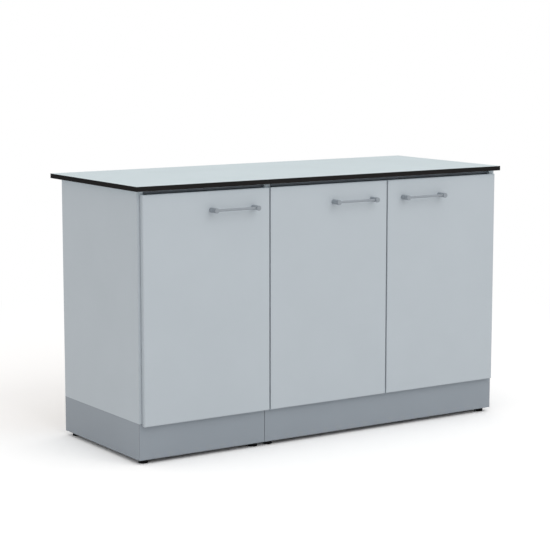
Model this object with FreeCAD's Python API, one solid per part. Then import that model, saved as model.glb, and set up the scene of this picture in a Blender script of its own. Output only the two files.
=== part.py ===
"""Laboratory wall bench on base cabinets: one compact-laminate worktop over a single-door and a
double-door cabinet that share the panel between them. Each cabinet stands on its own plinth frame
with four levelling feet, and each door hangs on two concealed cup hinges.

Millimetres. X runs along the bench (left to right from the front), Y from the front to the wall,
Z up. The origin is on the floor, in the middle of the rectangle that the bench and its handles cover.
"""
import FreeCAD
import Part
import os

# ---- driving dimensions: whole bench ----
bench_length = 1480.0
bench_depth = 600.0
bench_height = 900.0

# ---- worktop ----
worktop_thickness = 16.0
worktop_left_overhang = 20.0     # past the left side panel
worktop_right_overhang = 0.0     # the right end is flush, ready for a neighbour
worktop_front_overhang = 18.0    # past the door fronts
worktop_bevel = 0.5              # round both faces

# ---- cabinets ----
carcass_depth = 520.0
panel_thickness = 22.0
rail_thickness = 12.0
rail_width = 90.0
rail_setback = 10.0              # front rail behind the panels' front edges
back_thickness = 4.0
back_inset = 18.0                # back panel in front of the panels' rear edges
groove_depth = 8.0
groove_play = 0.2                # on each face of the back panel

# ---- shelves ----
shelf_thickness = 22.0
shelf_setback = 30.0             # behind the carcass front
shelf_rear_gap = 12.0            # in front of the back panel
shelf_side_gap = 1.0
shelf_level = 330.0              # underside above the bottom panel
shelf_pin_inset = 60.0           # from the shelf's front and rear edges
shelf_pin_diameter = 5.0
shelf_pin_reach = 9.0            # into the panel, and out of it under the shelf
shelf_hole_pitch = 32.0
shelf_pin_lug_width = 8.0
spare_holes_each_way = 2

# ---- plinths ----
plinth_height = 120.0
plinth_board = 16.0
plinth_joint_gap = 1.0           # between the two plinths
corner_block = 26.0              # square section of the blocks that carry the feet

# ---- levelling feet ----
foot_height = 15.0
foot_diameter = 32.0
foot_bevel = 1.0                 # round the tread
foot_neck_diameter = 22.0
foot_neck_length = 2.0
foot_slope_height = 3.2          # from the neck out to the tread
foot_socket_depth = 8.5          # below the foot's top
foot_screw_diameter = 8.0
foot_screw_length = 45.0         # above the foot
foot_bore_play = 1.0             # radial, round the screw above its insert
foot_insert_diameter = 12.0
foot_insert_length = 14.0
thread_play = 0.05               # radial, between a screw, pin or dowel and its hole
hole_end_play = 1.0              # hole deeper than the screw in it

# ---- doors ----
door_thickness = 16.0
door_gap = 5.0                   # between two doors
door_reveal = 10.0               # carcass left showing at each end
door_top_gap = 13.0              # below the worktop
door_plinth_lap = 8.0            # below the top of the plinth
door_standoff = 2.0              # between a door's back and the carcass
door_edge_radius = 1.0

# ---- door handles ----
handle_projection = 37.0
handle_spacing = 160.0           # between the two posts
handle_edge_distance = 64.0      # nearer post from the door's free edge
handle_drop = 61.0               # below the door's top
handle_post_diameter = 16.5
handle_post_bevel = 0.8
handle_rod_diameter = 8.0
handle_rod_setback = 9.0         # rod's axis behind the posts' front faces
handle_rod_seat = 4.0            # depth of the rod's end in its post
handle_screw_diameter = 4.0
handle_screw_bite = 12.0         # into the post

# ---- door bumpers ----
bumper_diameter = 7.0
bumper_gap = 0.3                 # left between the bumper and the carcass
bumper_edge_distance = 4.25

# ---- concealed hinges, measured from the door's hinge edge and front face ----
hinge_end_distance = 100.0       # from the door's top and bottom
cup_diameter = 35.0
cup_depth = 13.0
cup_wall = 0.8
cup_base_radius = 2.0
cup_edge_distance = 22.5         # cup's centre from the hinge edge
cup_play = 0.1
cup_flange_thickness = 1.0
cup_flange_length = 60.0
cup_flange_overhang = 2.0        # flange past the cup on the side away from the edge
cup_flange_start = 16.0
cup_flange_corner = 8.0
cup_screw_spacing = 48.0
cup_pivot_in = 14.5
arm_pivot_in = 35.2
pivot_depth = 12.0               # both pivots behind the door's front face
pivot_pin_diameter = 2.5
pivot_play = 0.1                 # radial
link_eye_diameter = 4.6
link_thickness = 2.0
link_width = 8.4
ear_thickness = 1.2
ear_play = 1.2                   # between the link's side and the ears of the cup
arm_wall = 1.2
arm_bend = 1.5                   # inside radius of its folds
arm_width = 12.0
arm_seat_in = 14.0               # arm's underside from the hinge edge
arm_height = 10.0
arm_front = 36.0                 # where the straight part of the arm starts, from the door front
arm_rear = 96.0
arm_clear_of_cup = 2.0           # behind the cup's flange
arm_adjuster_place = 50.0        # the side adjusting screw, from the door front
arm_clamp_place = 84.0           # the clamping screw, from the door front
hinge_slot_width = 4.2           # holes and slots for the hinge's own screws
plate_length = 54.0
plate_setback = 2.0              # plate's rear end in front of the arm's
plate_width = 16.0
plate_wing_span = 52.0
plate_wing_width = 14.0
plate_wing_thickness = 2.0
plate_wing_corner = 6.5
plate_rib_height = 6.0
plate_rib_play = 0.3             # between the rib's sides and the arm's walls
plate_slot_spacing = 32.0
plate_slot_length = 7.0

# ---- joining screws ----
screw_diameter = 4.0
screw_head_diameter = 8.0
screw_head_height = 2.5
worktop_screw_bite = 10.0        # into the worktop
plinth_screw_bite = 29.0         # into the corner block
screw_end_distance = 60.0        # from a rail's ends

# ---- dowels between the side panels and the boards that end on them ----
dowel_length = 30.0
dowel_bite = 9.0                 # into the side panel
dowel_end_play = 0.5             # glue space at each end
panel_dowel_diameter = 8.0
panel_dowel_count = 3            # at each end of a bottom panel
panel_dowel_edge_distance = 70.0 # from the carcass front and from the back panel
rail_dowel_diameter = 6.0
rail_dowel_edge_distance = 20.0

cut_past = 1.0                   # how far a cutting tool starts outside the face that it cuts
on_face = 0.001                  # an edge this near to a face lies on it

# ---- heights ----
worktop_underside = bench_height - worktop_thickness
plinth_bottom = foot_height
plinth_top = plinth_bottom + plinth_height
bottom_panel_top = plinth_top + panel_thickness
rail_underside = worktop_underside - rail_thickness
door_top = worktop_underside - door_top_gap
door_bottom = plinth_top - door_plinth_lap
handle_height = door_top - handle_drop
shelf_underside = bottom_panel_top + shelf_level
hinge_heights = (door_bottom + hinge_end_distance, door_top - hinge_end_distance)

# ---- depths ----
overall_depth = bench_depth - worktop_front_overhang + handle_projection
door_front = -overall_depth / 2 + handle_projection
door_back = door_front + door_thickness
carcass_front = door_back + door_standoff
carcass_back = carcass_front + carcass_depth
worktop_front = door_front - worktop_front_overhang
back_panel_rear = carcass_back - back_inset
back_panel_front = back_panel_rear - back_thickness
shelf_front = carcass_front + shelf_setback
shelf_back = back_panel_front - shelf_rear_gap

# ---- lengths ----
carcass_left = -bench_length / 2 + worktop_left_overhang
carcass_right = bench_length / 2 - worktop_right_overhang
door_width = (carcass_right - carcass_left - 2 * door_reveal - 2 * door_gap) / 3
door_lefts = [carcass_left + door_reveal + i * (door_width + door_gap) for i in range(3)]
middle_panel_left = door_lefts[1] - door_gap / 2 - panel_thickness / 2
middle_panel_right = middle_panel_left + panel_thickness

# Each bay: name, left and right inner faces, left and right ends of its plinth, screws in a rail.
bays = (
    ("left", carcass_left + panel_thickness, middle_panel_left,
     carcass_left, middle_panel_left - plinth_joint_gap / 2, 2),
    ("right", middle_panel_right, carcass_right - panel_thickness,
     middle_panel_left + plinth_joint_gap / 2, carcass_right, 3),
)

# Each door: name, left edge, +1 where the hinges are on its left, inner face of the hinged panel.
doors = (
    ("left", door_lefts[0], 1, carcass_left + panel_thickness),
    ("middle", door_lefts[1], 1, middle_panel_right),
    ("right", door_lefts[2], -1, carcass_right - panel_thickness),
)

UP = FreeCAD.Vector(0, 0, 1)
BACK = FreeCAD.Vector(0, 1, 0)
RIGHT = FreeCAD.Vector(1, 0, 0)


# ---- shapes ----
def box(x0, x1, y0, y1, z0, z1):
    """A box between its low and high corners."""
    return Part.makeBox(x1 - x0, y1 - y0, z1 - z0, FreeCAD.Vector(x0, y0, z0))


def rod(x, y, z, along, diameter, length):
    """A cylinder that starts at a point and runs along a direction."""
    return Part.makeCylinder(diameter / 2, length, FreeCAD.Vector(x, y, z), along)


def slab(outline, z0, z1, bends=()):
    """A plate with the given plan outline, a list of (x, y) corners. Each bend, a corner and a
    radius, rounds the upright edge at that corner."""
    corners = [FreeCAD.Vector(x, y, z0) for x, y in outline]
    face = Part.Face(Part.makePolygon(corners + corners[:1]))
    plate = face.extrude(FreeCAD.Vector(0, 0, z1 - z0))
    for (x, y), radius in bends:
        middle = FreeCAD.Vector(x, y, (z0 + z1) / 2)
        plate = plate.makeFillet(radius, [e for e in plate.Edges
                                          if e.CenterOfMass.distanceToPoint(middle) < on_face])
    return plate


def turned(profile, x, y, z):
    """A solid turned about the vertical through (x, y), from (radius, height) corners above z."""
    corners = [FreeCAD.Vector(r, 0, h) for r, h in profile]
    face = Part.Face(Part.makePolygon(corners + corners[:1]))
    solid = face.revolve(FreeCAD.Vector(0, 0, 0), UP, 360)
    solid.translate(FreeCAD.Vector(x, y, z))
    return solid


def cut_all(shape, tools):
    return shape.cut(tools) if tools else shape


def save(node, solids):
    """Write one node: one solid, or a group of separate like solids."""
    shape = solids[0] if len(solids) == 1 else Part.makeCompound(solids)
    shape.exportStep(os.path.join("parts", node + ".step"))


# ---- screws that hold the worktop to the rails, and the bottom panels to the plinth blocks ----
def rail_spans():
    """The front and rear rails' depth, front edge to rear edge."""
    front_rail_front = carcass_front + rail_setback
    rear_rail_back = back_panel_front - groove_play
    return (
        ("front", front_rail_front, front_rail_front + rail_width),
        ("rear", rear_rail_back - rail_width, rear_rail_back),
    )


def worktop_screw_places():
    places = []
    for _, x0, x1, _, _, count in bays:
        first = x0 + screw_end_distance
        step = (x1 - screw_end_distance - first) / (count - 1)
        for _, y0, y1 in rail_spans():
            places += [(first + i * step, (y0 + y1) / 2) for i in range(count)]
    return places


def plinth_corners():
    """Centres of the corner blocks, which are also the axes of the feet and plinth screws."""
    inset = plinth_board + corner_block / 2
    places = []
    for _, _, _, x0, x1, _ in bays:
        places += [(x, y) for y in (carcass_front + inset, carcass_back - inset)
                   for x in (x0 + inset, x1 - inset)]
    return places


def pan_head_screw(x, y, z_seat, along, length):
    """A screw whose head sits against z_seat and whose shank runs along the direction."""
    back_off = along * -screw_head_height
    head = rod(x, y, z_seat + back_off.z, along, screw_head_diameter, screw_head_height)
    return head.fuse(rod(x, y, z_seat, along, screw_diameter, length)).removeSplitter()


# ---- dowels ----
def dowel_places():
    """Panel face, direction into the panel, depth, height and diameter of every dowel."""
    first = carcass_front + panel_dowel_edge_distance
    step = (back_panel_front - panel_dowel_edge_distance - first) / (panel_dowel_count - 1)
    rows = [(first + i * step, plinth_top + panel_thickness / 2, panel_dowel_diameter)
            for i in range(panel_dowel_count)]
    for _, y0, y1 in rail_spans():
        rows += [(y, worktop_underside - rail_thickness / 2, rail_dowel_diameter)
                 for y in (y0 + rail_dowel_edge_distance, y1 - rail_dowel_edge_distance)]
    return [(face, into, *row) for _, x0, x1, _, _, _ in bays
            for face, into in ((x0, -1), (x1, 1)) for row in rows]


def dowel_bores(faces, y0, y1, z0, z1):
    """Bores for the dowels that cross these panel faces between two depths and two heights."""
    length = dowel_length + 2 * dowel_end_play
    return [rod(face + into * (dowel_bite + dowel_end_play), y, z, RIGHT * -into,
                diameter + 2 * thread_play, length)
            for face, into, y, z, diameter in dowel_places()
            if face in faces and y0 < y < y1 and z0 < z < z1]


def dowels():
    return [rod(face + into * dowel_bite, y, z, RIGHT * -into, diameter, dowel_length)
            for face, into, y, z, diameter in dowel_places()]


# ---- shelf pins and their holes ----
def shelf_pin_rows():
    """Panel face, direction into the panel and depth of every row of shelf holes."""
    rows = []
    for _, x0, x1, _, _, _ in bays:
        for y in (shelf_front + shelf_pin_inset, shelf_back - shelf_pin_inset):
            rows += [(x0, -1, y), (x1, 1, y)]
    return rows


def shelf_holes(face, into):
    """The holes drilled in one panel face, where into is -1 or +1 along X."""
    pin_axis = shelf_underside - shelf_pin_diameter / 2
    holes = []
    for row_face, row_into, y in shelf_pin_rows():
        if row_face != face or row_into != into:
            continue
        for i in range(-spare_holes_each_way, spare_holes_each_way + 1):
            z = pin_axis + i * shelf_hole_pitch
            holes.append(rod(face, y, z, RIGHT * into, shelf_pin_diameter, shelf_pin_reach))
    return holes


def shelf_pins():
    """A peg in the panel and a flat-topped lug under the shelf, one at each corner."""
    pins = []
    for face, into, y in shelf_pin_rows():
        z = shelf_underside - shelf_pin_diameter / 2
        peg = rod(face, y, z, RIGHT * into, shelf_pin_diameter - 2 * thread_play, shelf_pin_reach)
        ends = sorted((face, face - into * shelf_pin_reach))
        lug = box(ends[0], ends[1], y - shelf_pin_lug_width / 2, y + shelf_pin_lug_width / 2,
                  shelf_underside - shelf_pin_diameter, shelf_underside)
        pins.append(peg.fuse(lug).removeSplitter())
    return pins


# ---- worktop and cabinets ----
def worktop():
    top = box(-bench_length / 2, bench_length / 2, worktop_front, worktop_front + bench_depth,
              worktop_underside, bench_height)
    middle = (worktop_underside + bench_height) / 2
    face_edges = [e for e in top.Edges
                  if abs(e.CenterOfMass.z - middle) > worktop_thickness / 2 - on_face]
    top = top.makeChamfer(worktop_bevel, face_edges)
    hole = screw_diameter + 2 * thread_play
    return cut_all(top, [rod(x, y, worktop_underside, UP, hole, worktop_screw_bite + hole_end_play)
                         for x, y in worktop_screw_places()])


def back_groove(x0, x1, z0, z1):
    """The slot for the edge of a back panel."""
    return box(x0, x1, back_panel_front - groove_play, back_panel_rear + groove_play, z0, z1)


def side_panel(x0, grooved_left, grooved_right):
    x1 = x0 + panel_thickness
    panel = box(x0, x1, carcass_front, carcass_back, plinth_top, worktop_underside)
    low = bottom_panel_top - groove_depth
    cuts = dowel_bores((x0, x1), carcass_front, carcass_back, plinth_top, worktop_underside)
    if grooved_left:
        cuts += [back_groove(x0, x0 + groove_depth, low, worktop_underside)]
        cuts += shelf_holes(x0, 1)
    if grooved_right:
        cuts += [back_groove(x1 - groove_depth, x1, low, worktop_underside)]
        cuts += shelf_holes(x1, -1)
    return cut_all(panel, cuts)


def bottom_panel(x0, x1):
    panel = box(x0, x1, carcass_front, carcass_back, plinth_top, bottom_panel_top)
    hole = screw_diameter + 2 * thread_play
    cuts = [back_groove(x0, x1, bottom_panel_top - groove_depth, bottom_panel_top)]
    cuts += dowel_bores((x0, x1), carcass_front, carcass_back, plinth_top, bottom_panel_top)
    cuts += [rod(x, y, plinth_top, UP, hole, panel_thickness)
             for x, y in plinth_corners() if x0 < x < x1]
    return cut_all(panel, cuts)


def back_panel(x0, x1):
    seat = groove_depth - groove_play
    return box(x0 - seat, x1 + seat, back_panel_front, back_panel_rear,
               bottom_panel_top - seat, worktop_underside - groove_play)


def rail(x0, x1, y0, y1):
    board = box(x0, x1, y0, y1, rail_underside, worktop_underside)
    hole = screw_diameter + 2 * thread_play
    cuts = dowel_bores((x0, x1), y0, y1, rail_underside, worktop_underside)
    cuts += [rod(x, y, rail_underside, UP, hole, rail_thickness)
             for x, y in worktop_screw_places() if x0 < x < x1 and y0 < y < y1]
    return cut_all(board, cuts)


def shelf(x0, x1):
    return box(x0 + shelf_side_gap, x1 - shelf_side_gap, shelf_front, shelf_back,
               shelf_underside, shelf_underside + shelf_thickness)


# ---- plinths and feet ----
def plinth_boards(x0, x1):
    """Four boards on edge, mitred at the corners."""
    y0, y1, t = carcass_front, carcass_back, plinth_board
    outlines = {
        "front": [(x0, y0), (x1, y0), (x1 - t, y0 + t), (x0 + t, y0 + t)],
        "back": [(x0, y1), (x0 + t, y1 - t), (x1 - t, y1 - t), (x1, y1)],
        "left": [(x0, y0), (x0 + t, y0 + t), (x0 + t, y1 - t), (x0, y1)],
        "right": [(x1, y0), (x1, y1), (x1 - t, y1 - t), (x1 - t, y0 + t)],
    }
    return {side: slab(outline, plinth_bottom, plinth_top) for side, outline in outlines.items()}


def corner_blocks():
    """A block in every plinth corner, bored for the foot's insert and screw and for the screw above."""
    half = corner_block / 2
    blocks = []
    for x, y in plinth_corners():
        block = box(x - half, x + half, y - half, y + half, plinth_bottom, plinth_top)
        insert_hole = rod(x, y, plinth_bottom, UP, foot_insert_diameter, foot_insert_length)
        foot_hole = rod(x, y, plinth_bottom, UP, foot_screw_diameter + 2 * foot_bore_play,
                        foot_screw_length + hole_end_play)
        screw_hole = rod(x, y, plinth_top, -UP, screw_diameter + 2 * thread_play,
                         plinth_screw_bite + hole_end_play)
        blocks.append(block.cut([insert_hole, foot_hole, screw_hole]))
    return blocks


def foot_insert(x, y):
    outer = rod(x, y, plinth_bottom, UP, foot_insert_diameter - 2 * thread_play, foot_insert_length)
    return outer.cut(rod(x, y, plinth_bottom, UP, foot_screw_diameter + 2 * thread_play,
                         foot_insert_length))


def foot_pad(x, y):
    """A round glide with a bevelled tread, a sloping shoulder and a socket for its screw."""
    r, neck = foot_diameter / 2, foot_neck_diameter / 2
    shoulder = foot_height - foot_neck_length
    socket, floor = foot_screw_diameter / 2 + thread_play, foot_height - foot_socket_depth
    return turned([(0, 0), (r - foot_bevel, 0), (r, foot_bevel), (r, shoulder - foot_slope_height),
                   (neck, shoulder), (neck, foot_height), (socket, foot_height), (socket, floor),
                   (0, floor)], x, y, 0)


def foot_screw(x, y):
    return rod(x, y, foot_height - foot_socket_depth, UP, foot_screw_diameter,
               foot_socket_depth + foot_screw_length)


# ---- doors: built with the hinge edge at X = 0 and the front at Y = 0, then put in place ----
def place(shape, hinge_edge, side, z=0.0):
    """Move a piece from hinge-edge coordinates to its door, turned over for a right-hand hinge."""
    if side < 0:
        shape.rotate(FreeCAD.Vector(0, 0, 0), BACK, 180)
    shape.translate(FreeCAD.Vector(hinge_edge, door_front, z))
    return shape


def door_board(x0, hinge_edge, side):
    board = box(x0, x0 + door_width, door_front, door_back, door_bottom, door_top)
    front_edges = [e for e in board.Edges if e.CenterOfMass.y < door_front + on_face]
    board = board.makeFillet(door_edge_radius, front_edges)
    cuts = [rod(hinge_edge + side * cup_edge_distance, door_back - cup_depth, z, BACK,
                cup_diameter, cup_depth) for z in hinge_heights]
    cuts += [rod(x, door_front, handle_height, BACK,
                 handle_screw_diameter + 2 * thread_play, door_thickness)
             for x in handle_posts_x(hinge_edge, side)]
    return board.cut(cuts)


def handle_posts_x(hinge_edge, side):
    """The posts' places along the bench, the one nearer the free edge first."""
    free_edge = hinge_edge + side * door_width
    near = free_edge - side * handle_edge_distance
    return near, near - side * handle_spacing


def handle_post(x, toward_other):
    """A turned post with bevelled front, bored for the rod's end and for its screw."""
    r, bevel = handle_post_diameter / 2, handle_post_bevel
    corners = [(0, 0), (r - bevel, 0), (r, bevel), (r, handle_projection), (0, handle_projection)]
    face = Part.Face(Part.makePolygon(
        [FreeCAD.Vector(a, b, 0) for a, b in corners + corners[:1]]))
    post = face.revolve(FreeCAD.Vector(0, 0, 0), BACK, 360)
    post.translate(FreeCAD.Vector(x, door_front - handle_projection, handle_height))
    rod_y = door_front - handle_projection + handle_rod_setback
    start = x + toward_other * (r - handle_rod_seat)
    seat = rod(start, rod_y, handle_height, RIGHT * toward_other,
               handle_rod_diameter + 2 * thread_play, handle_rod_seat + cut_past)
    hole = rod(x, door_front, handle_height, -BACK, handle_screw_diameter + 2 * thread_play,
               handle_screw_bite + hole_end_play)
    return post.cut([seat, hole])


def handle_rod(xa, xb):
    low, high = sorted((xa, xb))
    inset = handle_post_diameter / 2 - handle_rod_seat
    rod_y = door_front - handle_projection + handle_rod_setback
    return rod(low + inset, rod_y, handle_height, RIGHT, handle_rod_diameter,
               high - low - 2 * inset)


def handle_screw(x):
    head = rod(x, door_back, handle_height, BACK, screw_head_diameter, screw_head_height)
    shank = rod(x, door_front - handle_screw_bite, handle_height, BACK,
                handle_screw_diameter, handle_screw_bite + door_thickness)
    return head.fuse(shank).removeSplitter()


def bumpers(hinge_edge, side, name):
    """Pads on a door's back that land on the carcass by its free edge."""
    free_edge = hinge_edge + side * door_width
    x = free_edge - side * bumper_edge_distance
    landings = [plinth_top + panel_thickness / 2]
    if name == "left":
        landings.append(door_top - panel_thickness / 2)
    return [rod(x, door_back, z, BACK, bumper_diameter, door_standoff - bumper_gap)
            for z in landings]


# ---- concealed hinge, in hinge-edge coordinates with Z = 0 at its middle ----
def round_base(cup, y, radius):
    """Turn the sharp edge round the base of a cup, or of its hollow, into a curve."""
    rims = [e for e in cup.Edges if abs(e.CenterOfMass.y - y) < on_face and len(e.Vertexes) == 1]
    return cup.makeFillet(radius, rims)


def hinge_cup():
    """A pressed cup with a screw flange, two ears and the pin that the link turns on."""
    outer = cup_diameter / 2 - cup_play
    inner = outer - cup_wall
    base = door_thickness - cup_depth
    x = cup_edge_distance
    cup = round_base(rod(x, base, 0, BACK, 2 * outer, cup_depth), base, cup_base_radius)
    flange_end = x + outer + cup_flange_overhang
    flange = box(cup_flange_start, flange_end, door_thickness,
                 door_thickness + cup_flange_thickness,
                 -cup_flange_length / 2, cup_flange_length / 2)
    tips = [e for e in flange.Edges if abs(e.CenterOfMass.z) > cup_flange_length / 2 - on_face
            and abs(e.CenterOfMass.y - door_thickness - cup_flange_thickness / 2) < on_face]
    flange = flange.makeFillet(cup_flange_corner, tips)
    holes = [rod((cup_flange_start + flange_end) / 2, door_thickness, s * cup_screw_spacing / 2,
                 BACK, hinge_slot_width, cup_flange_thickness) for s in (-1, 1)]
    hollow = round_base(rod(x, base + cup_wall, 0, BACK, 2 * inner, cup_depth + cut_past),
                        base + cup_wall, cup_base_radius - cup_wall)
    cup = cup.fuse(flange.cut(holes)).cut(hollow)
    ear_in = link_width / 2 + ear_play
    for s in (-1, 1):
        z0, z1 = sorted((s * ear_in, s * (ear_in + ear_thickness)))
        half = link_eye_diameter / 2
        ear = box(cup_pivot_in - half, cup_pivot_in + half, base + cup_wall, pivot_depth, z0, z1)
        ear = ear.fuse(rod(cup_pivot_in, pivot_depth, z0, UP, link_eye_diameter, ear_thickness))
        cup = cup.fuse(ear)
    half_pin = ear_in + ear_thickness
    pin = rod(cup_pivot_in, pivot_depth, -half_pin, UP, pivot_pin_diameter, 2 * half_pin)
    return cup.fuse(pin).removeSplitter()


def hinge_link():
    """The flat link with an eye at each end that carries the cup on the arm."""
    half = link_width / 2
    ends = (cup_pivot_in, arm_pivot_in)
    link = box(ends[0], ends[1], pivot_depth - link_thickness / 2, pivot_depth + link_thickness / 2,
               -half, half)
    for x in ends:
        link = link.fuse(rod(x, pivot_depth, -half, UP, link_eye_diameter, link_width))
    holes = [rod(x, pivot_depth, -half, UP, pivot_pin_diameter + 2 * pivot_play, link_width)
             for x in ends]
    return link.cut(holes)


def hinge_arm():
    """A cranked channel from the mounting plate to the pin inside the cup. Its back has a hole for
    the adjusting screw and a slot, open to the rear, for the clamping screw."""
    half = arm_width / 2
    nose = link_eye_diameter / 2
    top = arm_seat_in + arm_height
    near, far = arm_pivot_in - nose, arm_pivot_in + nose
    clear = door_thickness + cup_flange_thickness + arm_clear_of_cup
    wide = far - top
    upper = [(top, arm_rear), (top, arm_front + arm_wall), (top + wide / 2, arm_front - arm_wall),
             (far, clear + nose + link_eye_diameter), (far, pivot_depth)]
    lower = [(near, pivot_depth), (near, clear), (top - arm_wall, arm_front - 3 * nose),
             (arm_seat_in, arm_front - arm_wall), (arm_seat_in, arm_rear)]
    outer_bend = arm_bend + arm_wall
    bends = [(upper[1], arm_bend)] + [(corner, outer_bend) for corner in upper[2:4] + lower[1:4]]
    body = slab(upper + lower, -half, half, bends)
    body = body.fuse(rod(arm_pivot_in, pivot_depth, -half, UP, link_eye_diameter, arm_width))
    inner_top = [(x - arm_wall, y - arm_wall / 2) for x, y in upper[:4]]
    hollow = [(inner_top[0][0], arm_rear + cut_past)] + inner_top[1:]
    hollow += [(far + cut_past, clear), (far + cut_past, 0), (0, 0), (0, arm_rear + cut_past)]
    body = body.cut(slab(hollow, -half + arm_wall, half - arm_wall,
                         [(inner_top[1], outer_bend), (inner_top[2], arm_bend)]))
    cuts = [rod(top + cut_past, y, 0, -RIGHT, hinge_slot_width, arm_wall + 2 * cut_past)
            for y in (arm_adjuster_place, arm_clamp_place)]
    cuts += [box(top - arm_wall - cut_past, top + cut_past, arm_clamp_place, arm_rear + cut_past,
                 -hinge_slot_width / 2, hinge_slot_width / 2)]
    pin = rod(arm_pivot_in, pivot_depth, -half, UP, pivot_pin_diameter, arm_width)
    return body.cut(cuts).fuse(pin).removeSplitter()


def hinge_plate(panel_face_in):
    """A cross-shaped mounting plate. The arm clips over its rib, which is bored for the arm's two
    screws, and its wings have slots for the screws into the panel."""
    rear = arm_rear - plate_setback
    base = box(panel_face_in, arm_seat_in, rear - plate_length, rear,
               -plate_width / 2, plate_width / 2)
    middle = rear - plate_length / 2
    wing_face = panel_face_in + plate_wing_thickness
    wing = box(panel_face_in, wing_face, middle - plate_wing_width / 2,
               middle + plate_wing_width / 2, -plate_wing_span / 2, plate_wing_span / 2)
    tips = [e for e in wing.Edges if abs(e.CenterOfMass.z) > plate_wing_span / 2 - on_face
            and abs(e.CenterOfMass.x - panel_face_in - plate_wing_thickness / 2) < on_face]
    wing = wing.makeFillet(plate_wing_corner, tips)
    rib_half = arm_width / 2 - arm_wall - plate_rib_play
    rib_top = arm_seat_in + plate_rib_height
    rib = box(arm_seat_in, rib_top, rear - plate_length, rear, -rib_half, rib_half)
    cuts = [rod(rib_top, y, 0, -RIGHT, hinge_slot_width, plate_rib_height)
            for y in (arm_adjuster_place, arm_clamp_place)]
    straight = plate_slot_length - hinge_slot_width
    for s in (-1, 1):
        z = s * plate_slot_spacing / 2
        cuts += [rod(panel_face_in, middle, z + e * straight / 2, RIGHT, hinge_slot_width,
                     plate_wing_thickness) for e in (-1, 1)]
        cuts += [box(panel_face_in, wing_face, middle - hinge_slot_width / 2,
                     middle + hinge_slot_width / 2, z - straight / 2, z + straight / 2)]
    return base.fuse([wing, rib]).cut(cuts).removeSplitter()


# ---- write every node ----
def save_cabinets():
    save("worktop", [worktop()])
    save("left_side_panel", [side_panel(carcass_left, False, True)])
    save("middle_side_panel", [side_panel(middle_panel_left, True, True)])
    save("right_side_panel", [side_panel(carcass_right - panel_thickness, True, False)])
    for name, x0, x1, plinth_x0, plinth_x1, _ in bays:
        save(name + "_bottom_panel", [bottom_panel(x0, x1)])
        save(name + "_back_panel", [back_panel(x0, x1)])
        save(name + "_shelf", [shelf(x0, x1)])
        for where, y0, y1 in rail_spans():
            save(f"{name}_{where}_rail", [rail(x0, x1, y0, y1)])
        for side, board in plinth_boards(plinth_x0, plinth_x1).items():
            save(f"{name}_plinth_{side}", [board])
    save("shelf_pins", shelf_pins())
    save("carcass_dowels", dowels())


def save_feet_and_screws():
    corners = plinth_corners()
    per_plinth = len(corners) // len(bays)
    save("plinth_corner_blocks", corner_blocks())
    save("foot_inserts", [foot_insert(x, y) for x, y in corners])
    save("foot_screws", [foot_screw(x, y) for x, y in corners])
    save("left_feet", [foot_pad(x, y) for x, y in corners[:per_plinth]])
    save("right_feet", [foot_pad(x, y) for x, y in corners[per_plinth:]])
    save("worktop_screws", [pan_head_screw(x, y, rail_underside, UP,
                                           rail_thickness + worktop_screw_bite)
                            for x, y in worktop_screw_places()])
    save("plinth_screws", [pan_head_screw(x, y, bottom_panel_top, -UP,
                                          panel_thickness + plinth_screw_bite)
                           for x, y in corners])


def save_doors():
    for name, x0, side, panel_face in doors:
        hinge_edge = x0 if side > 0 else x0 + door_width
        panel_face_in = abs(panel_face - hinge_edge)
        save(name + "_door", [door_board(x0, hinge_edge, side)])
        near, far = handle_posts_x(hinge_edge, side)
        save(name + "_handle_posts", [handle_post(near, -side), handle_post(far, side)])
        save(name + "_handle_rod", [handle_rod(near, far)])
        save(name + "_handle_screws", [handle_screw(near), handle_screw(far)])
        save(name + "_door_bumpers", bumpers(hinge_edge, side, name))
        pieces = {"cups": hinge_cup, "links": hinge_link, "arms": hinge_arm}
        for piece, make in pieces.items():
            save(f"{name}_hinge_{piece}",
                 [place(make(), hinge_edge, side, z) for z in hinge_heights])
        save(name + "_hinge_plates",
             [place(hinge_plate(panel_face_in), hinge_edge, side, z) for z in hinge_heights])


os.makedirs("parts", exist_ok=True)
save_cabinets()
save_feet_and_screws()
save_doors()
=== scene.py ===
"""Laboratory wall bench: the finish of every piece, in the order in which the bench is put together.

Metres, in the frame's own axes: X along the bench, Y from the front to the wall, Z up.
"""
import math

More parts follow.
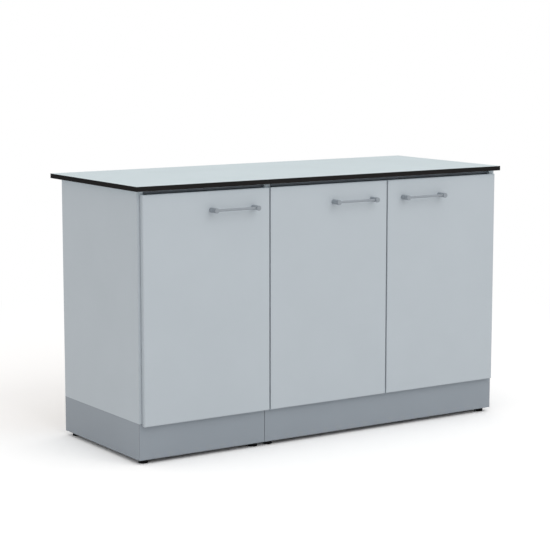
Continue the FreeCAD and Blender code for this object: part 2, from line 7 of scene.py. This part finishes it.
import bpy
import numpy as np
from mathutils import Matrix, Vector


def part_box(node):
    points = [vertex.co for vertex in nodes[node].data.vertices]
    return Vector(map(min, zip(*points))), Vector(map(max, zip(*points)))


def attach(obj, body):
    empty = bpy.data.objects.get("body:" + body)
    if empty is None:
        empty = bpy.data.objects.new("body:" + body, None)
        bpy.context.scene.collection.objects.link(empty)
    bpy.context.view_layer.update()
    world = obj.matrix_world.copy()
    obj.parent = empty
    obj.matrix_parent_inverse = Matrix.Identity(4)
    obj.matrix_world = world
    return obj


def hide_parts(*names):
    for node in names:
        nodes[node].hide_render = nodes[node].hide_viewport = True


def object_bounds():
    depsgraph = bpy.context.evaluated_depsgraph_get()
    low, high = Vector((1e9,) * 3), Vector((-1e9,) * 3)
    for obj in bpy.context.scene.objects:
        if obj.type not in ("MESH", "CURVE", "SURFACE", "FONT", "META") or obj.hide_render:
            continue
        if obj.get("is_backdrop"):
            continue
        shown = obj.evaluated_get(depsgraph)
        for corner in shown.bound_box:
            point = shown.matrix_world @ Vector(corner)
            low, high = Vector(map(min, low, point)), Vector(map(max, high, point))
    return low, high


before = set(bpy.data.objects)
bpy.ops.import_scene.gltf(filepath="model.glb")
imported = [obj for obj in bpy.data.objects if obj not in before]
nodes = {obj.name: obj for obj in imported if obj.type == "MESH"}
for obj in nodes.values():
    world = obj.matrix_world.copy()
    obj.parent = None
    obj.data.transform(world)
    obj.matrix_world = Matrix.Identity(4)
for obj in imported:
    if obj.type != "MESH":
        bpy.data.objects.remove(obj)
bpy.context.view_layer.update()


# ==== Camera =====================================================================================
# It stands 6 m off, to the left of the bench and half a metre above the worktop, and looks down
# by eight degrees through a long lens.
camera_place = (-3.415, -5.113, 1.4095)
camera_turn = 33.495        # degrees from straight at the wall towards the bench's right
camera_dip = 8.137          # degrees below level
camera_lens = 115.98        # in millimetres
camera_frame = 36.0         # in millimetres, across
camera_sight = 400.0        # how far it sees
camera_data = bpy.data.cameras.new("camera")
camera_data.lens = camera_lens
camera_data.sensor_width = camera_frame
camera_data.clip_end = camera_sight
camera = bpy.data.objects.new("camera", camera_data)
camera.location = camera_place
camera.rotation_euler = (math.radians(90.0 - camera_dip), 0.0, math.radians(-camera_turn))
bpy.context.scene.collection.objects.link(camera)
bpy.context.scene.camera = camera


# ==== Studio =====================================================================================
# A white room: soft light from everywhere, one broad lamp in front and to the right of the bench
# and one above it. The floor is white paint and keeps the shadow round the plinth.
def add(tree, kind, inputs=None, **settings):
    """One node of a material. Each input is a plain value or another node's output."""
    made = tree.nodes.new(kind)
    for key, value in settings.items():
        setattr(made, key, value)
    for key, value in (inputs or {}).items():
        if isinstance(value, bpy.types.NodeSocket):
            tree.links.new(value, made.inputs[key])
        else:
            made.inputs[key].default_value = value
    return made


def reckon(tree, operation, first, second=0.0):
    """The result of one operation of arithmetic on two values, or on the first alone."""
    return add(tree, "ShaderNodeMath", {0: first, 1: second}, operation=operation).outputs[0]


def place_of(tree):
    """Where a point lies, in metres from the frame's origin."""
    return add(tree, "ShaderNodeTexCoord").outputs["Object"]


def seen_directly(tree):
    """1 where the camera, a reflection or glass looks at the room, and 0 for the room's light."""
    path = add(tree, "ShaderNodeLightPath").outputs
    either = reckon(tree, "MAXIMUM", path["Is Camera Ray"], path["Is Glossy Ray"])
    return reckon(tree, "MAXIMUM", either, path["Is Transmission Ray"])


def pick(tree, share, first, second):
    """The first shader where the share is 0, the second where it is 1, and both in between."""
    return add(tree, "ShaderNodeMixShader", {0: share, 1: first, 2: second}).outputs[0]


room_white = (1, 1, 1, 1)
room_light = 0.76           # its strength on the bench; the camera sees it at 1
world = bpy.data.worlds.new("white_room")
world.use_nodes = True
room = world.node_tree
room.nodes.clear()
soft_sky = add(room, "ShaderNodeBackground", {"Color": room_white, "Strength": room_light})
white_sky = add(room, "ShaderNodeBackground", {"Color": room_white, "Strength": 1.0})
sky = pick(room, seen_directly(room), soft_sky.outputs[0], white_sky.outputs[0])
add(room, "ShaderNodeOutputWorld", {0: sky})
bpy.context.scene.world = world
bpy.context.scene.view_settings.view_transform = "Standard"

lamps = (
    # name, place, aimed at, width and height of the panel, watts
    ("front_lamp", (0.7, -4.9, 4.5), (0.0, 0.0, 0.4), (5.0, 4.0), 82.0),
    ("top_lamp", (-0.8, -0.6, 4.2), (0.0, 0.0, 0.9), (3.5, 2.5), 4.0),
)
for lamp_name, place, target, size, watts in lamps:
    lamp = bpy.data.lights.new(lamp_name, "AREA")
    lamp.shape = "RECTANGLE"
    lamp.size, lamp.size_y = size
    lamp.energy = watts
    holder = bpy.data.objects.new(lamp_name, lamp)
    holder.location = place
    # It shines straight down until it is tipped up and then turned to its target.
    aim = np.array(target) - np.array(place)
    tip_up = math.atan2(math.hypot(aim[0], aim[1]), -aim[2])
    turn = math.atan2(aim[0], -aim[1]) + math.pi
    holder.rotation_euler = (tip_up, 0.0, turn)
    bpy.context.scene.collection.objects.link(holder)

floor_reach = 60.0
floor_keeps_shadow = 1.6                    # radius round the bench in which it is shaded paint
floor_all_white = 3.0                       # radius past which it is as white as the room
floor_dull = (0.86, 0.86, 0.86, 1)          # the paint that lights the bench from below
floor_bright = (1.26, 1.25, 1.24, 1)        # the paint that is seen, as white as the room
floor_mesh = bpy.data.meshes.new("floor")
corners = [(-floor_reach, -floor_reach, 0), (floor_reach, -floor_reach, 0),
           (floor_reach, floor_reach, 0), (-floor_reach, floor_reach, 0)]
floor_mesh.from_pydata(corners, [], [(0, 1, 2, 3)])
floor = bpy.data.objects.new("floor", floor_mesh)
bpy.context.scene.collection.objects.link(floor)
floor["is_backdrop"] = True
floor_paint = bpy.data.materials.new("white_floor")
floor_paint.use_nodes = True
tree = floor_paint.node_tree
tree.nodes.clear()
dull = add(tree, "ShaderNodeBsdfDiffuse", {"Color": floor_dull})
bright = add(tree, "ShaderNodeBsdfDiffuse", {"Color": floor_bright})
paint = pick(tree, seen_directly(tree), dull.outputs[0], bright.outputs[0])
glow = add(tree, "ShaderNodeEmission", {"Color": room_white, "Strength": 1.0})
radius = add(tree, "ShaderNodeVectorMath", {0: place_of(tree)}, operation="LENGTH")
far = add(tree, "ShaderNodeMapRange", {"Value": radius.outputs["Value"],
                                       "From Min": floor_keeps_shadow,
                                       "From Max": floor_all_white}).outputs[0]
seen_far = reckon(tree, "MULTIPLY", far, seen_directly(tree))
add(tree, "ShaderNodeOutputMaterial", {0: pick(tree, seen_far, paint, glow.outputs[0])})
floor_mesh.materials.append(floor_paint)


# ==== Levelling feet =============================================================================
# Eight black nylon glides. Each turns on a zinc-plated M8 screw in a threaded insert, which is
# pressed into the block in the plinth's corner.
def screen(red, green, blue):
    """The light that a paint of these 0 to 255 screen values reflects, by the screen's own curve:
    the value over 255, plus 0.055, over 1.055, to the power 2.4."""
    values = (np.array([red, green, blue]) / 255.0 + 0.055) / 1.055
    return (*(values ** 2.4), 1.0)


def finish(name, colour, roughness, metallic=0.0):
    """A new material with one plain colour, and its tree and shader, ready for detail."""
    made = bpy.data.materials.new(name)
    made.use_nodes = True
    shader = made.node_tree.nodes["Principled BSDF"]
    shader.inputs["Base Color"].default_value = colour
    shader.inputs["Roughness"].default_value = roughness
    shader.inputs["Metallic"].default_value = metallic
    return made, made.node_tree, shader


def grain(tree, clouds, detail=2.0, stretch=(1, 1, 1)):
    """Cloudy values from 0 to 1 that stay on the piece, with this many clouds to the metre."""
    sized = add(tree, "ShaderNodeMapping", {"Vector": place_of(tree), "Scale": stretch}).outputs[0]
    return add(tree, "ShaderNodeTexNoise", {"Vector": sized, "Scale": clouds,
                                            "Detail": detail}).outputs["Fac"]


def spread(tree, values, low, high):
    """Values from 0.3 to 0.7, where most of a grain lies, drawn out to run from low to high."""
    return add(tree, "ShaderNodeMapRange", {"Value": values, "From Min": 0.3, "From Max": 0.7,
                                            "To Min": low, "To Max": high}).outputs[0]


def blend(tree, share, first, second):
    """The first colour where the share is 0, the second where it is 1, and both in between."""
    return add(tree, "ShaderNodeMix", {0: share, 6: first, 7: second},
               data_type="RGBA").outputs[2]


def clouded(tree, values, dark, light):
    """A colour that runs from dark to light with the values of a grain."""
    return blend(tree, spread(tree, values, 0.0, 1.0), dark, light)


def tint(tree, shader, values, dark, light):
    """Let the colour vary over the surface between a dark and a light one."""
    tree.links.new(clouded(tree, values, dark, light), shader.inputs["Base Color"])


def roughen(tree, shader, values, low, high):
    """Let the gloss vary over the surface between two roughnesses."""
    tree.links.new(spread(tree, values, low, high), shader.inputs["Roughness"])


def emboss(tree, shader, height, depth):
    """Raise the surface by a height from 0 to 1 times this depth."""
    bump = add(tree, "ShaderNodeBump", {"Height": height, "Distance": depth, "Strength": 1.0})
    tree.links.new(bump.outputs[0], shader.inputs["Normal"])


def dress(material, *names):
    """Give the frame's pieces of these names one material on all their faces."""
    for name in names:
        mesh = nodes[name].data
        if not mesh.materials:
            mesh.materials.append(material)
        for i in range(len(mesh.materials)):
            mesh.materials[i] = material


black_nylon, tree, shader = finish("black_nylon", screen(5, 5, 6), 0.5)
shader.inputs["Specular IOR Level"].default_value = 0.12
roughen(tree, shader, grain(tree, 900.0), 0.42, 0.58)
emboss(tree, shader, grain(tree, 2600.0), 0.00003)
dress(black_nylon, "left_feet", "right_feet")

zinc_plate, tree, shader = finish("zinc_plate", screen(196, 199, 204), 0.32, 1.0)
tint(tree, shader, grain(tree, 240.0), screen(182, 186, 194), screen(208, 209, 206))
roughen(tree, shader, grain(tree, 700.0), 0.24, 0.42)
dress(zinc_plate, "foot_inserts")

X, Y, Z = 0, 1, 2


def solids(node):
    """The low and high corners of every separate solid of a node. Each point starts with a number
    of its own. Every triangle hands the lowest of its three numbers to its points, until nothing
    changes, and the points that then share a number are one solid."""
    mesh = nodes[node].data
    points = np.empty(3 * len(mesh.vertices))
    mesh.vertices.foreach_get("co", points)
    places, number = np.unique(points.reshape(-1, 3), axis=0, return_inverse=True)
    ends = np.empty(len(mesh.loops), dtype=np.int64)
    mesh.loops.foreach_get("vertex_index", ends)
    triangles = number.reshape(-1)[ends].reshape(-1, 3)
    owner = np.arange(len(places))
    while True:
        lower = owner.copy()
        np.minimum.at(lower, triangles, owner[triangles].min(axis=1)[:, None])
        if (lower == owner).all():
            break
        owner = lower
    return [(places[owner == one].min(axis=0), places[owner == one].max(axis=0))
            for one in np.unique(owner)]


def round_axis(start, along, distance, radius, turn):
    """Points about an axis: start, plus distance times the axis' direction, plus radius times the
    cosine and sine of the turn along the two directions across it."""
    along = np.array(along, dtype=float)
    across = np.abs(np.roll(along, 1))
    third = np.cross(along, across)
    distance, radius, turn = np.broadcast_arrays(distance, radius, turn)
    return (np.array(start) + distance[..., None] * along
            + (radius * np.cos(turn))[..., None] * across
            + (radius * np.sin(turn))[..., None] * third)


def skin(rings):
    """Points and faces of a closed skin over rings of points, which run anticlockwise as seen from
    the last ring. Each ring joins the next one all round, and a fan closes each end."""
    count, around = rings.shape[:2]
    points = np.concatenate([rings.reshape(-1, 3), rings[[0, -1]].mean(axis=1)])
    here = np.arange(around)
    after = (here + 1) % around
    row = around * np.arange(count - 1)[:, None]
    sides = np.stack([row + here, row + after, row + around + after, row + around + here], axis=-1)
    last = around * (count - 1)
    first_cap = np.stack([after, here, np.full(around, count * around)], axis=-1)
    last_cap = np.stack([last + here, last + after, np.full(around, count * around + 1)], axis=-1)
    return points, sides.reshape(-1, 4).tolist() + first_cap.tolist() + last_cap.tolist()


def make_piece(name, skins, material, body, stands_for=()):
    """One piece from closed skins: it rides on a body and stands for these nodes of the frame.
    Its faces shade into each other unless they meet at more than the crease."""
    crease = math.radians(40)
    points, faces, used = [], [], 0
    for skin_points, skin_faces in skins:
        points.append(skin_points)
        faces += [[used + corner for corner in face] for face in skin_faces]
        used += len(skin_points)
    mesh = bpy.data.meshes.new(name)
    mesh.from_pydata(np.concatenate(points).tolist(), [], faces)
    mesh.polygons.foreach_set("use_smooth", np.ones(len(faces), dtype=bool))
    mesh.set_sharp_from_angle(angle=crease)
    mesh.materials.append(material)
    made = bpy.data.objects.new(name, mesh)
    bpy.context.scene.collection.objects.link(made)
    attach(made, body)
    if stands_for:
        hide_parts(*stands_for)


def thread(radius, ridge, pitch, length, tip):
    """Distance, radius and turn of every point of a threaded shank. The thread climbs one pitch a
    turn: where a point lies the part p of a pitch past the groove, its radius is the full radius
    less ridge * |2p - 1|. Over the last stretch, the tip, it narrows to a fifth."""
    rings_a_pitch, fewest_rings, around = 6, 8, 24
    rings = max(int(rings_a_pitch * length / pitch), fewest_rings)
    distance = np.linspace(0.0, length, rings)[:, None]
    turn = np.linspace(0.0, 2 * np.pi, around, endpoint=False)[None, :]
    part = (distance / pitch - turn / (2 * np.pi)) % 1.0
    narrowing = np.clip((length - distance) / tip, 0.2, 1.0)
    return distance, (radius - ridge * np.abs(2 * part - 1)) * narrowing, turn


foot_pitch, foot_ridge, foot_tip = 0.00125, 0.00035, 0.0012
rods = []
for low, high in solids("foot_screws"):
    radius = (high[X] - low[X]) / 2
    start = (low[X] + radius, low[Y] + radius, low[Z])
    rods.append(skin(round_axis(start, (0, 0, 1), *thread(radius, foot_ridge, foot_pitch,
                                                          high[Z] - low[Z], foot_tip))))
make_piece("threaded_foot_rods", rods, zinc_plate, "carcass", ("foot_screws",))


# ==== Plinths ====================================================================================
# Two open frames of slate-grey faced board, mitred at the corners. Planed beech blocks are glued
# into the corners and carry the feet.
def measure(tree):
    """A point's place on the bench: its x, y and z."""
    return add(tree, "ShaderNodeSeparateXYZ", {0: place_of(tree)}).outputs


def from_edges(tree, at, low, high, edges):
    """How far a point lies inside the nearest of these edges. Each edge is an axis, and -1 for its
    low side or 1 for its high side; the distance is taken along that axis."""
    nearest = None
    for axis, side in edges:
        if side < 0:
            distance = reckon(tree, "SUBTRACT", at[axis], low[axis])
        else:
            distance = reckon(tree, "SUBTRACT", high[axis], at[axis])
        nearest = distance if nearest is None else reckon(tree, "MINIMUM", nearest, distance)
    return nearest


def between(tree, share, first, second):
    """The first value where the share is 0, the second where it is 1, and one in between."""
    return add(tree, "ShaderNodeMix", {0: share, 2: first, 3: second}).outputs[0]


def faced_board(name, node, across, banded, light, dark, seams=()):
    """Chipboard under melamine film. Film covers the two faces that lie across this axis, and a
    band of the same colour covers the banded edges. Bare chipboard shows wherever a cut, a bore
    or a plain edge opens the core. A hairline runs where film and band meet, and along seams."""
    film, band = 0.0003, 0.002
    hairline_half, seam_width = 0.00012, 0.00048
    line_shade = 0.35           # a line's colour, as a share of the film's
    pearl_height = 0.12         # of the grain in the film, as a share of a chip's height
    chips_to_metre, chip_depth, chip_roughness = 620.0, 0.0002, 0.9
    chip_dark, chip_light = screen(136, 108, 74), screen(214, 190, 150)
    low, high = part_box(node)
    made, tree, shader = finish(name, light, 0.5)
    at = measure(tree)
    depth = from_edges(tree, at, low, high, ((across, -1), (across, 1)))
    inside = from_edges(tree, at, low, high, banded)
    deep = reckon(tree, "GREATER_THAN", depth, film)
    past_band = reckon(tree, "GREATER_THAN", inside, band)
    core = reckon(tree, "MULTIPLY", deep, past_band)
    off_line = reckon(tree, "ABSOLUTE", reckon(tree, "SUBTRACT", inside, band))
    line = reckon(tree, "LESS_THAN", off_line, hairline_half)
    if seams:
        seam = reckon(tree, "LESS_THAN", from_edges(tree, at, low, high, seams), seam_width)
        line = reckon(tree, "MAXIMUM", line, seam)
    chips = add(tree, "ShaderNodeTexVoronoi", {"Vector": place_of(tree), "Scale": chips_to_metre})
    chip = add(tree, "ShaderNodeSeparateColor", {0: chips.outputs["Color"]}).outputs[0]
    film_colour = clouded(tree, grain(tree, 6.0), dark, light)
    line_colour = (*(line_shade * part for part in dark[:3]), 1.0)
    outside = blend(tree, line, film_colour, line_colour)
    colour = blend(tree, core, outside, blend(tree, chip, chip_dark, chip_light))
    tree.links.new(colour, shader.inputs["Base Color"])
    pearl = grain(tree, 1100.0, 3.0)
    rough = between(tree, core, spread(tree, pearl, 0.42, 0.54), chip_roughness)
    tree.links.new(rough, shader.inputs["Roughness"])
    height = between(tree, core, reckon(tree, "MULTIPLY", pearl, pearl_height), chip)
    emboss(tree, shader, height, chip_depth)
    return made


slate_light, slate_dark = screen(147, 155, 163), screen(145, 153, 161)
plinth_seams = {"front": ((X, -1), (X, 1)), "back": ((X, -1), (X, 1)),
                "left": ((Y, -1), (Y, 1)), "right": ((Y, -1), (Y, 1))}
for bay in ("left", "right"):
    for side, seams in plinth_seams.items():
        node = f"{bay}_plinth_{side}"
        across = Y if side in ("front", "back") else X
        dress(faced_board(node + "_board", node, across, ((Z, -1), (Z, 1)),
                          slate_light, slate_dark, seams), node)

beech, tree, shader = finish("planed_beech", screen(205, 170, 128), 0.6)
fibre = grain(tree, 90.0, 4.0, (4.0, 4.0, 0.25))
tint(tree, shader, fibre, screen(176, 138, 98), screen(218, 186, 146))
emboss(tree, shader, fibre, 0.0001)
dress(beech, "plinth_corner_blocks")


# ==== Cabinets ===================================================================================
# Light grey faced board, 22 mm, banded in front, and rails banded in front and behind, whose darker
# grey is painted shade under the worktop; all joined with beech dowels. The thin back panels slide
# in grooves; they are hardboard, painted on the inside and bare towards the wall.
grey_light, grey_dark = screen(189, 197, 203), screen(187, 195, 201)
# The rails are the cabinets' grey board; this darker grey is painted shade for the shadow under the
# worktop.
rail_light_painted_shade, rail_dark_painted_shade = screen(120, 127, 137), screen(118, 125, 135)
for node in ("left_side_panel", "middle_side_panel", "right_side_panel"):
    dress(faced_board(node + "_board", node, X, ((Y, -1),), grey_light, grey_dark), node)
for bay in ("left", "right"):
    for piece in ("bottom_panel", "shelf"):
        node = f"{bay}_{piece}"
        dress(faced_board(node + "_board", node, Z, ((Y, -1),), grey_light, grey_dark), node)
    for place in ("front", "rear"):
        node = f"{bay}_{place}_rail"
        edges = ((Y, -1), (Y, 1))
        dress(faced_board(node + "_board", node, Z, edges, rail_light_painted_shade, rail_dark_painted_shade), node)

paint_film = 0.0004
for bay in ("left", "right"):
    node = bay + "_back_panel"
    low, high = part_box(node)
    hardboard, tree, shader = finish(node + "_hardboard", screen(214, 218, 220), 0.5)
    bare = reckon(tree, "GREATER_THAN", measure(tree)[Y], low[Y] + paint_film)
    painted = clouded(tree, grain(tree, 5.0), screen(208, 213, 216), screen(214, 218, 221))
    pressed = grain(tree, 420.0, 5.0)
    fibres = clouded(tree, pressed, screen(128, 104, 80), screen(152, 129, 104))
    tree.links.new(blend(tree, bare, painted, fibres), shader.inputs["Base Color"])
    emboss(tree, shader, pressed, 0.0001)
    dress(hardboard, node)

dress(beech, "carcass_dowels")
dress(zinc_plate, "shelf_pins")


# ==== Joining screws =============================================================================
# Zinc-plated pan-head screws with a cross recess: through the bottom panels into the plinth
# blocks, and up through the rails into the worktop.
screw_head_height, screw_radius = 0.0025, 0.002
screw_pitch, screw_ridge, screw_tip = 0.0018, 0.0005, 0.005


def cross_head(radius, height):
    """Distance, radius and turn of every point of a domed head with a cross recess, from the
    middle of its top to its seat. Its top falls by the dome's share of its height towards the
    rim, as one minus the root of 1 - r^4. The recess has four arms; the turns of each quarter
    stand on an arm's middle, at its wall's foot and top, and half way to the next arm, so its
    walls are crisp. It is deepest in the middle and rises in a straight line to the arms' ends."""
    part = np.array([0.1, 0.22, 0.34, 0.46, 0.58, 0.6, 0.75, 0.88, 0.96, 1.0, 1.0])[:, None]
    arm_half, arm_reach, hub = 0.12, 0.59, 0.18         # shares of the head's radius
    dome, recess, recess_rise = 0.45, 0.55, 0.7         # shares of its height, and of the recess
    arm_widest, wall = math.radians(38), math.radians(4)
    foot = np.minimum(np.arcsin(np.minimum(arm_half / part, 1.0)), arm_widest)
    top = foot + wall
    quarter = np.concatenate([0 * part, foot, top, 0 * part + np.pi / 4,
                              np.pi / 2 - top, np.pi / 2 - foot], axis=1)
    turn = np.concatenate([quarter + i * np.pi / 2 for i in range(4)], axis=1)
    in_arm = np.tile([True, True, False, False, False, True], 4)[None, :]
    deep = (in_arm | (part < hub)) & (part < arm_reach)
    distance = dome * height * (1 - np.sqrt(np.clip(1 - part ** 4, 0, 1)))
    distance = distance + deep * recess * height * (1 - recess_rise * part / arm_reach)
    distance[-1] = height
    return distance, part * radius, turn


def pan_screw(start, along, head_radius, head_height, shank_radius, length):
    """The skin of a whole screw: its head, and its threaded shank from the seat to the tip. Both
    have 24 points to a ring."""
    head = round_axis(start, along, *cross_head(head_radius, head_height))
    seat = np.array(start) + head_height * np.array(along)
    shank = round_axis(seat, along, *thread(shank_radius, screw_ridge, screw_pitch, length,
                                            screw_tip))
    return skin(np.concatenate([head, shank]))


def screws_for(node, name, axis, head_side, body):
    """A piece that stands for a node of screws, which lie along Y or Z. Their heads are on the low
    side (-1) or on the high side (1) of that axis."""
    along = np.zeros(3)
    along[axis] = -head_side
    skins = []
    for low, high in solids(node):
        head_radius = (high[X] - low[X]) / 2
        start = (low + high) / 2
        start[axis] = high[axis] if head_side > 0 else low[axis]
        length = high[axis] - low[axis] - screw_head_height
        skins.append(pan_screw(start, along, head_radius, screw_head_height, screw_radius, length))
    make_piece(name, skins, zinc_plate, body, (node,))


screws_for("plinth_screws", "cross_head_plinth_screws", Z, 1, "carcass")
screws_for("worktop_screws", "cross_head_worktop_screws", Z, -1, "carcass")


# ==== Worktop ====================================================================================
# One slab of compact laminate: pale grey-green decor paper on both faces, and a core of black
# resin and paper whose layers show on every edge. The screws in the rails hold it down.
decor = 0.00015
core_roughness = 0.85
low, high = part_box("worktop")
laminate, tree, shader = finish("compact_laminate", screen(208, 217, 221), 0.4)
shader.inputs["Specular IOR Level"].default_value = 0.03
depth = from_edges(tree, measure(tree), low, high, ((Z, -1), (Z, 1)))
core = reckon(tree, "GREATER_THAN", depth, decor)
face_colour = clouded(tree, grain(tree, 5.0), screen(206, 219, 223), screen(209, 222, 226))
layers = grain(tree, 900.0, 3.0, (0.004, 0.004, 1.0))
paper_colour = clouded(tree, layers, screen(31, 30, 31), screen(41, 39, 38))
tree.links.new(blend(tree, core, face_colour, paper_colour), shader.inputs["Base Color"])
fine = grain(tree, 1500.0, 3.0)
rough = between(tree, core, spread(tree, fine, 0.34, 0.46), core_roughness)
tree.links.new(rough, shader.inputs["Roughness"])
emboss(tree, shader, fine, 0.00002)
dress(laminate, "worktop")


# ==== Doors ======================================================================================
# Three doors of light grey faced board, 16 mm, with a 2 mm band round all four edges, rounded
# towards the front. Each hangs on two concealed hinges.
door_names = ("left", "middle", "right")
door_edges = ((X, -1), (X, 1), (Z, -1), (Z, 1))
for name in door_names:
    node = name + "_door"
    dress(faced_board(node + "_board", node, Y, door_edges, grey_light, grey_dark), node)


# ==== Handles ====================================================================================
# A thin rod between two turned posts, lacquered satin grey. A screw from the door's back holds
# each post.
lacquer, tree, shader = finish("grey_lacquered_metal", screen(147, 154, 161), 0.38)
tint(tree, shader, grain(tree, 40.0), screen(145, 152, 159), screen(149, 156, 163))
roughen(tree, shader, grain(tree, 1800.0), 0.34, 0.44)
emboss(tree, shader, grain(tree, 3200.0), 0.00001)
for name in door_names:
    dress(lacquer, name + "_handle_posts", name + "_handle_rod")
    screws_for(name + "_handle_screws", name + "_cross_head_handle_screws", Y, 1, name + "_door")


# ==== Hinges and bumpers =========================================================================
# Two concealed cup hinges of nickel-plated steel on each door, and soft pads that take up the
# shock where its free edge lands on the cabinet.
nickel, tree, shader = finish("nickel_plate", screen(226, 225, 222), 0.3, 1.0)
tint(tree, shader, grain(tree, 60.0), screen(220, 219, 216), screen(231, 230, 228))
roughen(tree, shader, grain(tree, 500.0), 0.24, 0.36)
soft_pad, tree, shader = finish("clear_pad", screen(206, 208, 208), 0.3)
roughen(tree, shader, grain(tree, 800.0), 0.26, 0.36)
shader.inputs["Transmission Weight"].default_value = 0.35
for name in door_names:
    for piece in ("cups", "links", "arms", "plates"):
        dress(nickel, f"{name}_hinge_{piece}")
    dress(soft_pad, name + "_door_bumpers")

# Small cross-head screws hold each cup's flange to the door and each plate to its panel, and two
# on each arm set the door's place.
small_head_radius, small_head_height, small_shank = 0.0034, 0.0014, 0.0018
flange_screw_side, flange_screw_offset = 0.013, 0.024   # from the flange's side, and its middle
flange_screw_length, arm_screw_length, plate_screw_length = 0.010, 0.004, 0.010
arm_height, arm_screws_behind = 0.010, (0.012, 0.046)   # over the panel, and from the arm's rear
wing_height, plate_screw_behind = 0.002, 0.027          # over the panel, and from the plate's rear
plate_screw_offset = 0.016                              # from the plate's middle


def small_screws(heads, along, length):
    """The skins of hinge screws with the middles of their heads' tops at these places."""
    return [pan_screw(head, along, small_head_radius, small_head_height, small_shank, length)
            for head in heads]


for name in door_names:
    door_low, door_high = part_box(name + "_door")
    cups = solids(name + "_hinge_cups")
    cup_low, cup_high = cups[0]
    hinged_left = cup_low[X] - door_low[X] < door_high[X] - cup_high[X]
    inward = 1 if hinged_left else -1       # along X, from the hinges' panel into the cabinet
    flange_heads, arm_heads, plate_heads = [], [], []
    for low, high in cups:
        side = high[X] if hinged_left else low[X]
        for way in (-1, 1):
            flange_heads.append((side - inward * flange_screw_side, high[Y] + small_head_height,
                                 (low[Z] + high[Z]) / 2 + way * flange_screw_offset))
    for low, high in solids(name + "_hinge_arms"):
        panel = low[X] if hinged_left else high[X]
        for behind in arm_screws_behind:
            arm_heads.append((panel + inward * (arm_height + small_head_height),
                              high[Y] - behind, (low[Z] + high[Z]) / 2))
    for low, high in solids(name + "_hinge_plates"):
        panel = low[X] if hinged_left else high[X]
        for way in (-1, 1):
            plate_heads.append((panel + inward * (wing_height + small_head_height),
                                high[Y] - plate_screw_behind,
                                (low[Z] + high[Z]) / 2 + way * plate_screw_offset))
    make_piece(name + "_hinge_flange_screws",
               small_screws(flange_heads, (0, -1, 0), flange_screw_length),
               nickel, name + "_door")
    make_piece(name + "_hinge_arm_screws",
               small_screws(arm_heads, (-inward, 0, 0), arm_screw_length),
               nickel, "carcass")
    make_piece(name + "_hinge_plate_screws",
               small_screws(plate_heads, (-inward, 0, 0), plate_screw_length),
               nickel, "carcass")


bpy.context.view_layer.update()
low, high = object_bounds()
